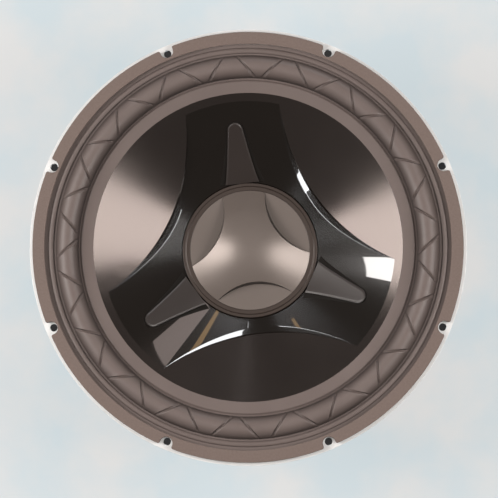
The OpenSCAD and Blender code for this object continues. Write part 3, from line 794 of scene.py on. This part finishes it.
def surround_place(row, turn):
    """turn says which column this is: whole numbers from 0 count towards the crease, over it and on."""
    r, z = profile[row % len(profile)]
    middle = crease_turn(r)
    reach = crease_steps[-1] * MM / r
    last = left_columns + len(crease_steps) - 1
    if turn < left_columns:
        angle = (middle - reach) * turn / left_columns
    elif turn <= last:
        angle = middle + crease_steps[turn - left_columns] * MM / r
    else:
        half_sector = math.pi / crease_count
        angle = middle + reach + (half_sector - middle - reach) * (turn - last) / right_columns
    if row % len(profile) in top_rows or row % len(profile) in under_rows:
        fade = min(max((r - crease_start_r) / crease_fade_in, 0), 1)
        fade *= min(max((crease_end_r - r) / crease_fade_out, 0), 1)
        off = (angle - middle) * r * crease_slant
        groove = crease_depth * math.exp(-((off / crease_width) ** 2))
        lip = lip_h * math.exp(-(((off - lip_at) / lip_width) ** 2))
        sink = (groove - lip) * fade
        out = Vector((r - roll_mid_r, z - inner_top)).normalized()
        r -= sink * out.x
        z -= sink * out.y
    return r, angle, z


bm = bmesh.new()
column_count = left_columns + len(crease_steps) + right_columns
spun_sheet(bm, len(profile) + 1, list(range(column_count)), surround_place)
repeat_round(bm, crease_count, first_crease)
flange = bmesh.new()
scalloped_sheet(flange, 144.9 * MM, surround_high.x, 145.8 * MM, 4.5 * MM, 0.6 * MM, basket_top)
raise_up(flange, rubber_t - 0.05 * MM)
flange_mesh = bpy.data.meshes.new("surround_flange")
flange.to_mesh(flange_mesh)
flange.free()
bm.from_mesh(flange_mesh)
bpy.data.meshes.remove(flange_mesh)
surround = make_piece("surround_creased_roll", bm, surround_rubber, ["surround"])
blend_round(surround, 137 * MM, 120.5 * MM)

# Front gasket: a die-cut ring of dense foam glued over the surround's flange, open round every
# mounting hole.
gasket_foam, tree, shader = principled("gasket_foam", {"Specular IOR Level": 0.25, "Sheen Weight": 0.1})
point = object_point(tree)
cells = add_node(tree, "TexVoronoi", {"Vector": point, "Scale": 1500.0}).outputs["Distance"]
speckle = noise(tree, point, 700, 4)
paint(tree, shader, speckle, (0.120, 0.089, 0.077), (0.180, 0.136, 0.119))
vary_gloss(tree, shader, noise(tree, point, 50), 0.62, 0.8)
raise_grain(tree, shader, cells, 0.06 * MM)
gasket_low, gasket_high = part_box("front_gasket")
bm = bmesh.new()
scalloped_sheet(bm, 145 * MM, gasket_high.x, 146.8 * MM, 4.6 * MM, 1.5 * MM, gasket_low.z)
raise_up(bm, gasket_high.z - gasket_low.z)
round_edges(bm, 0.55 * MM, 3)
make_piece("front_gasket_foam", bm, gasket_foam, ["front_gasket"], "frame")

# Studio: a mottled pale floor that glows a little, a black disc under the speaker as painted shadow, a dim
# room, two soft boxes, smaller bright things that the gloss mirrors, and the camera almost straight above.


def lay_flat(name, bm, material, place):
    """A flat sheet of the studio, which is no part of the speaker."""
    mesh = bpy.data.meshes.new(name)
    bm.to_mesh(mesh)
    bm.free()
    mesh.materials.append(material)
    sheet = bpy.data.objects.new(name, mesh)
    sheet.location = place
    bpy.context.scene.collection.objects.link(sheet)


pale_floor, tree, shader = principled("pale_floor", {"Roughness": 0.9})
point = object_point(tree)
clouds = add_node(tree, "MapRange", {"Value": noise(tree, point, 11, 6), "From Min": 0.4, "From Max": 0.6})
glow = add_node(tree, "Mix", {0: clouds.outputs[0], 6: (0.80, 0.93, 0.98, 1), 7: (1.0, 0.99, 0.97, 1)},
                data_type="RGBA").outputs[2]
tree.links.new(glow, shader.inputs["Emission Color"])
shader.inputs["Emission Strength"].default_value = 0.53
shader.inputs["Base Color"].default_value = (0.19, 0.20, 0.207, 1)
bm = bmesh.new()
bmesh.ops.create_grid(bm, x_segments=1, y_segments=1, size=14)
lay_flat("floor", bm, pale_floor, (0, 0, -0.4 * MM))

# Painted shadow: a black disc, set a little off centre under the basket, stands for the speaker's shadow on
# the floor.
painted_shadow_felt, tree, shader = principled("painted_shadow_felt", {"Roughness": 0.95, "Sheen Weight": 0.2})
paint(tree, shader, noise(tree, object_point(tree), 400), (0.010, 0.010, 0.011), (0.024, 0.024, 0.026))
bm = bmesh.new()
bmesh.ops.create_circle(bm, cap_ends=True, segments=128, radius=161 * MM)
lay_flat("painted_shadow_disc", bm, painted_shadow_felt, (-6 * MM, 9 * MM, -0.02 * MM))

world = bpy.data.worlds.new("room")
world.use_nodes = True
bpy.context.scene.world = world
tree = world.node_tree
direction = tree.nodes.new("ShaderNodeTexCoord").outputs["Generated"]
height = add_node(tree, "SeparateXYZ", {"Vector": direction}).outputs["Z"]
low = add_node(tree, "MapRange", {"Value": height, "From Min": 0.01, "From Max": 0.10}).outputs[0]
high = add_node(tree, "MapRange", {"Value": height, "From Min": 0.72, "From Max": 0.95}).outputs[0]
wall = add_node(tree, "Mix", {0: low, 6: (0.60, 0.64, 0.66, 1), 7: (0.085, 0.075, 0.066, 1)},
                data_type="RGBA").outputs[2]
room = add_node(tree, "Mix", {0: high, 6: wall, 7: (0.55, 0.53, 0.51, 1)}, data_type="RGBA").outputs[2]
tree.links.new(room, tree.nodes["Background"].inputs["Color"])


def soft_box(name, azimuth, elevation, distance, width, height, power, tint):
    """A rectangular light, aimed at the cone from that azimuth and elevation in degrees."""
    light = bpy.data.lights.new(name, "AREA")
    light.shape = "RECTANGLE"
    light.size, light.size_y = width, height
    light.energy = power
    light.color = tint
    lamp = bpy.data.objects.new(name, light)
    turn, lift = math.radians(azimuth), math.radians(elevation)
    outward = Vector((math.cos(turn) * math.cos(lift), math.sin(turn) * math.cos(lift), math.sin(lift)))
    lamp.location = Vector((0, 0, basket_top)) + outward * distance
    lamp.rotation_mode = "QUATERNION"
    lamp.rotation_quaternion = outward.to_track_quat("Z", "Y")
    bpy.context.scene.collection.objects.link(lamp)


warm_white, white, amber = (1.0, 0.96, 0.93), (0.97, 0.98, 1.0), (1.0, 0.62, 0.28)
soft_box("soft_box_right", -5.8, 44, 1.2, 0.58, 0.56, 10.4, warm_white)
soft_box("soft_box_left", 178.2, 43.6, 1.2, 0.60, 0.60, 12.4, warm_white)
soft_box("box_flap", 167.2, 28.5, 1.6, 0.22, 0.12, 1.0, warm_white)
soft_box("window", 74.5, 18.4, 1.6, 0.84, 0.15, 4.8, white)
soft_box("lamp", 224, 22.0, 1.6, 0.24, 0.115, 1.1, white)
soft_box("sill_far", 124.5, 20.2, 1.6, 0.72, 0.035, 1.3, white)
soft_box("sill_left", 199.5, 23, 1.6, 1.1, 0.03, 1.5, white)
soft_box("sill_right", 350, 27, 1.6, 0.9, 0.03, 1.2, white)
soft_box("curtain", 55, 27, 1.6, 0.26, 0.16, 0.24, (1.0, 0.82, 0.76))
soft_box("wood_left", 66.5, 25.5, 1.6, 0.07, 0.12, 0.055, amber)
soft_box("wood_right", 122, 23.8, 1.6, 0.05, 0.10, 0.03, amber)
soft_box("door_gap", 91.5, 32, 1.6, 0.02, 0.56, 0.1, white)

# The camera leans a few degrees from the speaker's axis, towards its right and its near side.
camera_distance, lean = 2.5, math.radians(4.4)
view_width = 355.2 * MM
camera_data = bpy.data.cameras.new("camera")
camera_data.lens = camera_data.sensor_width * camera_distance / view_width
camera = bpy.data.objects.new("camera", camera_data)
bpy.context.scene.collection.objects.link(camera)
bpy.context.scene.camera = camera
aside = Vector((0.55, -0.83, 0)).normalized()
back = aside * math.sin(lean) + Vector((0, 0, math.cos(lean)))
across = Vector((0, 1, 0)).cross(back).normalized()
upward = back.cross(across)
target = Vector((0.9 * MM, -1.5 * MM, basket_top))
camera.matrix_world = Matrix((
    (across.x, upward.x, back.x, target.x + back.x * camera_distance),
    (across.y, upward.y, back.y, target.y + back.y * camera_distance),
    (across.z, upward.z, back.z, target.z + back.z * camera_distance),
    (0, 0, 0, 1)))
bpy.context.scene.view_settings.view_transform = "Standard"
